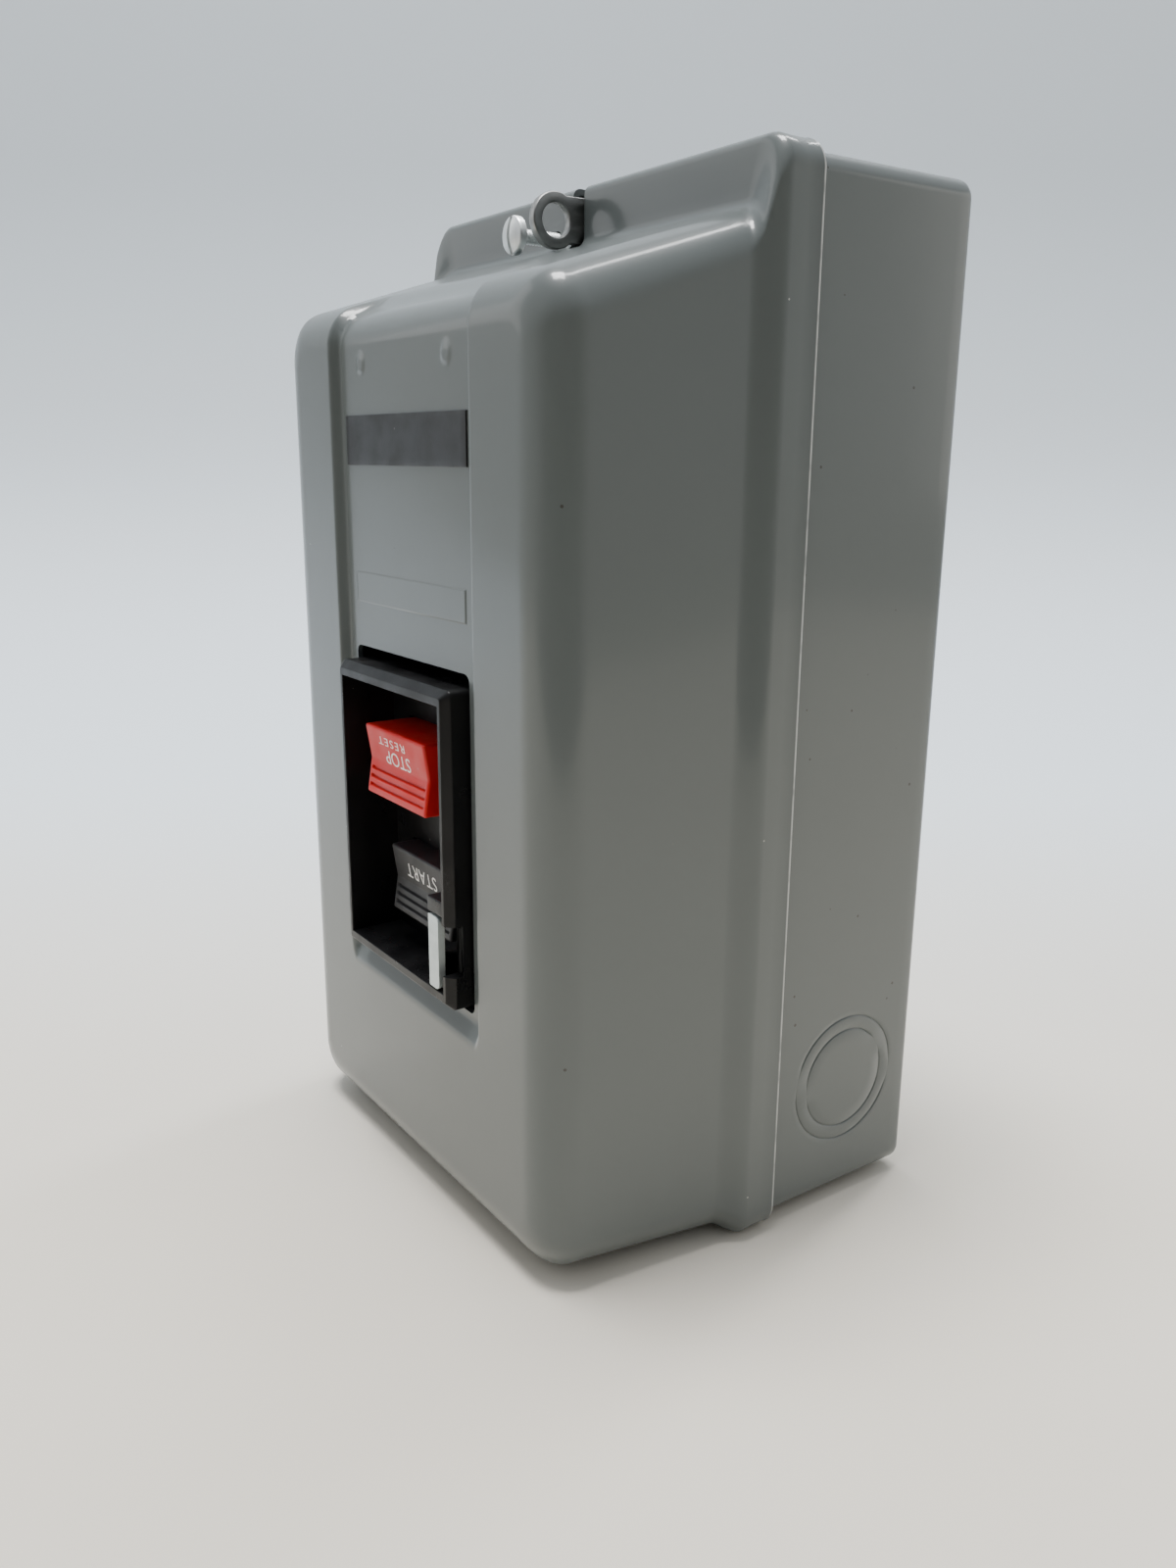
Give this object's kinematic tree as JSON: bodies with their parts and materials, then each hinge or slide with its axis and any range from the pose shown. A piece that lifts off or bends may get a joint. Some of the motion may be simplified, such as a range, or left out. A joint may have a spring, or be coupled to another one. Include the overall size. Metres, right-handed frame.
{
  "type": "motor_starter",
  "caption": "Manual-magnetic motor starter in a grey sheet-steel wall enclosure, with a deep drawn cover, linked stop and start push buttons, a padlockable slide and a hasp eye.",
  "frame": {"origin": "centre of the box's flat back face, in the plane of the wall", "axes": "+Y into the wall, out of the back; -Y towards the buttons; +Z along the length, towards the hasp-eye end, as pictured; +X right seen from the front as pictured"},
  "size_m": [0.1218, 0.097, 0.2108],
  "materials": {
    "grey_enamel": "glossy grey enamel on sheet steel",
    "black_moulding": "satin black moulded plastic",
    "brown_moulding": "dark brown moulded thermoset",
    "red_plastic": "satin red moulded plastic",
    "dark_plastic": "satin near-black moulded plastic",
    "zinc_plate": "bright zinc-plated steel",
    "dark_steel": "dark oiled steel",
    "copper": "drawn copper strip",
    "laminated_iron": "stacked iron sheet",
    "coil_tape": "varnished winding tape",
    "heater_alloy": "drawn resistance alloy",
    "green_screw": "green passivated steel",
    "black_label": "smooth black label, bare"
  },
  "bodies": {
    "case": {"back_box": "grey_enamel", "hasp_bracket": "dark_steel", "base_plate": "zinc_plate", "base_screw_1": "zinc_plate", "base_screw_2": "zinc_plate", "base_screw_3": "zinc_plate", "base_screw_4": "zinc_plate", "ground_screw": "green_screw", "contact_base": "brown_moulding", "arc_cover": "black_moulding", "operator_housing": "black_moulding", "bezel": "black_moulding", "line_contact_1": "copper", "line_contact_2": "copper", "line_contact_3": "copper", "load_contact_1": "copper", "load_contact_2": "copper", "load_contact_3": "copper", "terminal_screw_1": "zinc_plate", "terminal_screw_2": "zinc_plate", "terminal_screw_3": "zinc_plate", "terminal_screw_4": "zinc_plate", "terminal_screw_5": "zinc_plate", "terminal_screw_6": "zinc_plate", "rocker_pin": "dark_steel", "magnet_bracket": "zinc_plate", "magnet_core": "laminated_iron", "coil_bobbin": "black_moulding", "coil": "coil_tape", "overload_relay": "black_moulding", "heater_1": "heater_alloy", "heater_2": "heater_alloy", "heater_3": "heater_alloy", "bus_link_1": "copper", "bus_link_2": "copper", "bus_link_3": "copper", "return_spring_1": "dark_steel", "return_spring_2": "dark_steel"},
    "cover": {"cover": "grey_enamel", "nameplate": "black_label", "screw_retainer": "zinc_plate"},
    "cover_screw": {"cover_screw": "zinc_plate"},
    "stop_button": {"stop_button": "red_plastic"},
    "start_button": {"start_button": "dark_plastic"},
    "rocker": {"rocker": "brown_moulding"},
    "crossbar": {"crossbar": "brown_moulding", "contact_bridge_1": "copper", "contact_bridge_2": "copper", "contact_bridge_3": "copper", "contact_spring_1": "dark_steel", "contact_spring_2": "dark_steel", "contact_spring_3": "dark_steel", "armature": "laminated_iron"},
    "lock_slide": {"lock_slide": "zinc_plate"},
    "trip_bar": {"trip_bar": "red_plastic"}
  },
  "joints": [
    {"name": "cover_hinge", "type": "hinge", "parent": "case", "child": "cover", "pos_m": [0, -0.0412, -0.1042], "axis": [1, 0, 0], "range_deg": [0, 75]},
    {"name": "cover_screw_turn", "type": "hinge", "parent": "cover", "child": "cover_screw", "pos_m": [-0.008, -0.06, 0.0961], "axis": [0, -1, 0], "continuous": true},
    {"name": "stop_press", "type": "slide", "parent": "case", "child": "stop_button", "axis": [0, 1, 0], "range_m": [0, 0.0052]},
    {"name": "start_return", "type": "slide", "parent": "case", "child": "start_button", "axis": [0, -1, 0], "range_m": [0, 0.0052]},
    {"name": "rocker_tilt", "type": "hinge", "parent": "case", "child": "rocker", "pos_m": [0, -0.055, -0.02421], "axis": [1, 0, 0], "range_deg": [-21.5, 0]},
    {"name": "crossbar_lift", "type": "slide", "parent": "case", "child": "crossbar", "axis": [0, -1, 0], "range_m": [0, 0.0052], "deforming": ["return_spring_1", "return_spring_2"]},
    {"name": "lock_pull", "type": "slide", "parent": "case", "child": "lock_slide", "axis": [0, -1, 0], "range_m": [0, 0.009]},
    {"name": "trip_shift", "type": "slide", "parent": "case", "child": "trip_bar", "axis": [1, 0, 0], "range_m": [0, 0.003]}
  ],
  "couplings": [
    {"joint": "start_return", "follows": "stop_press", "ratio": 1},
    {"joint": "rocker_tilt", "follows": "stop_press", "rad_per_m": -71.36},
    {"joint": "crossbar_lift", "follows": "stop_press", "ratio": 1}
  ]
}
